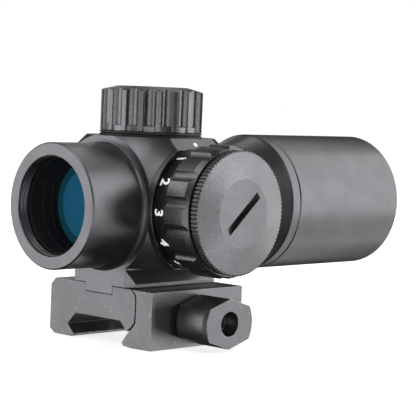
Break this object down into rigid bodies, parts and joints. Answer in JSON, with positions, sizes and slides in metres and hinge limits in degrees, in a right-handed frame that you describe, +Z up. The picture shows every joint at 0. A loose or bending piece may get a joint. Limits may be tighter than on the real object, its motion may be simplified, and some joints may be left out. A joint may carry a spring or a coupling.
{
  "type": "red dot finder",
  "caption": "Tube red dot sight with capped elevation and windage turrets, side brightness dial over a coin cell, long front bell and a nut-clamped rail mount.",
  "frame": {"origin": "on the rail seat (the flat roof of the rail slot), midway along the clamp and centred between the rail's side faces", "axes": "+X out of the brightness dial, +Y forward along the optical axis towards the target, +Z up, away from the rail"},
  "size_m": [0.0613, 0.1104, 0.0622],
  "materials": {
    "housing_black": "satin black anodised",
    "knob_black": "satin black anodised, turned",
    "lens_blue": "polished, blue-green coating",
    "lens_clear": "polished",
    "seal_rubber": "matte",
    "inner_aluminium": "matte black anodised",
    "steel": "turned",
    "contact_brass": "sprung strip",
    "board_green": "solder-resist gloss",
    "moulded_plastic": "moulded",
    "emitter_red": "clear red lens",
    "mark_white": "filled paint"
  },
  "bodies": {
    "sight": {"main_housing": "housing_black", "objective_bell": "housing_black", "rear_lens": "lens_blue", "rear_lens_seal": "seal_rubber", "rear_retaining_ring": "housing_black", "front_window": "lens_clear", "front_window_seal": "seal_rubber", "front_retaining_ring": "housing_black", "tube_return_spring": "steel", "elevation_base": "housing_black", "elevation_click_ball": "steel", "elevation_click_spring": "steel", "elevation_cap_seal": "seal_rubber", "windage_base": "housing_black", "windage_click_ball": "steel", "windage_click_spring": "steel", "windage_cap_seal": "seal_rubber", "dial_hub": "inner_aluminium", "circuit_board": "board_green", "dial_clip": "steel", "dial_seal": "seal_rubber", "dial_detent_ball": "steel", "dial_detent_spring": "steel", "clamp_base": "housing_black", "cross_bolt": "steel", "base_screws": "steel", "index_mark": "mark_white"},
    "gimbal": {"gimbal_ring": "inner_aluminium", "gimbal_pins": "steel"},
    "aiming_tube": {"inner_tube": "inner_aluminium", "tube_pins": "steel", "reflex_lens": "lens_clear", "reflex_lens_ring": "inner_aluminium", "led_holder": "moulded_plastic", "led_emitter": "emitter_red", "led_ribbon": "board_green"},
    "elevation_cap": {"elevation_cap": "knob_black"},
    "elevation_drum": {"elevation_adjuster": "inner_aluminium"},
    "elevation_plunger": {"elevation_plunger": "steel"},
    "windage_cap": {"windage_cap": "knob_black"},
    "windage_drum": {"windage_adjuster": "inner_aluminium"},
    "windage_plunger": {"windage_plunger": "steel"},
    "dial": {"brightness_dial": "knob_black", "battery_spring": "contact_brass"},
    "battery": {"battery": "steel"},
    "battery_lid": {"battery_cap": "knob_black", "battery_cap_seal": "seal_rubber"},
    "jaw": {"moving_jaw": "housing_black", "clamp_washer": "steel"},
    "nut": {"clamp_nut": "knob_black"}
  },
  "joints": [
    {"name": "brightness_turn", "type": "hinge", "parent": "sight", "child": "dial", "pos_m": [0.0228, 0, 0.0272], "axis": [1, 0, 0], "range_deg": [0, 330]},
    {"name": "battery_cap_off", "type": "slide", "parent": "dial", "child": "battery_lid", "axis": [1, 0, 0], "range_m": [0, 0.026]},
    {"name": "battery_out", "type": "slide", "parent": "dial", "child": "battery", "axis": [1, 0, 0], "range_m": [0, 0.013]},
    {"name": "elevation_cap_off", "type": "slide", "parent": "sight", "child": "elevation_cap", "axis": [0, 0, 1], "range_m": [0, 0.02]},
    {"name": "elevation_turn", "type": "hinge", "parent": "sight", "child": "elevation_drum", "pos_m": [0, 0, 0.05], "axis": [0, 0, 1], "range_deg": [-360, 360]},
    {"name": "elevation_push", "type": "slide", "parent": "sight", "child": "elevation_plunger", "axis": [0, 0, -1], "range_m": [-0.0005, 0.0005]},
    {"name": "windage_cap_off", "type": "slide", "parent": "sight", "child": "windage_cap", "axis": [-1, 0, 0], "range_m": [0, 0.02]},
    {"name": "windage_turn", "type": "hinge", "parent": "sight", "child": "windage_drum", "pos_m": [-0.0228, 0, 0.0272], "axis": [-1, 0, 0], "range_deg": [-360, 360]},
    {"name": "windage_push", "type": "slide", "parent": "sight", "child": "windage_plunger", "axis": [1, 0, 0], "range_m": [-0.0005, 0.0005]},
    {"name": "tube_pitch", "type": "hinge", "parent": "sight", "child": "gimbal", "pos_m": [0, 0.026, 0.0272], "axis": [1, 0, 0], "range_deg": [-1.11, 1.11]},
    {"name": "tube_yaw", "type": "hinge", "parent": "gimbal", "child": "aiming_tube", "pos_m": [0, 0.026, 0.0272], "axis": [0, 0, 1], "range_deg": [-1.11, 1.11]},
    {"name": "jaw_slide", "type": "slide", "parent": "sight", "child": "jaw", "axis": [1, 0, 0], "range_m": [0, 0.00242]},
    {"name": "nut_turn", "type": "hinge", "parent": "jaw", "child": "nut", "pos_m": [0.0243, 0, 0.00075], "axis": [1, 0, 0], "range_deg": [0, 1080]}
  ],
  "couplings": [
    {"joint": "battery_out", "follows": "battery_cap_off", "ratio": 0.5},
    {"joint": "elevation_push", "follows": "elevation_turn", "m_per_rad": 0.000079577},
    {"joint": "tube_pitch", "follows": "elevation_turn", "ratio": 0.0030607},
    {"joint": "windage_push", "follows": "windage_turn", "m_per_rad": 0.000079577},
    {"joint": "tube_yaw", "follows": "windage_turn", "ratio": 0.0030607},
    {"joint": "jaw_slide", "follows": "nut_turn", "m_per_rad": 0.00012732}
  ]
}
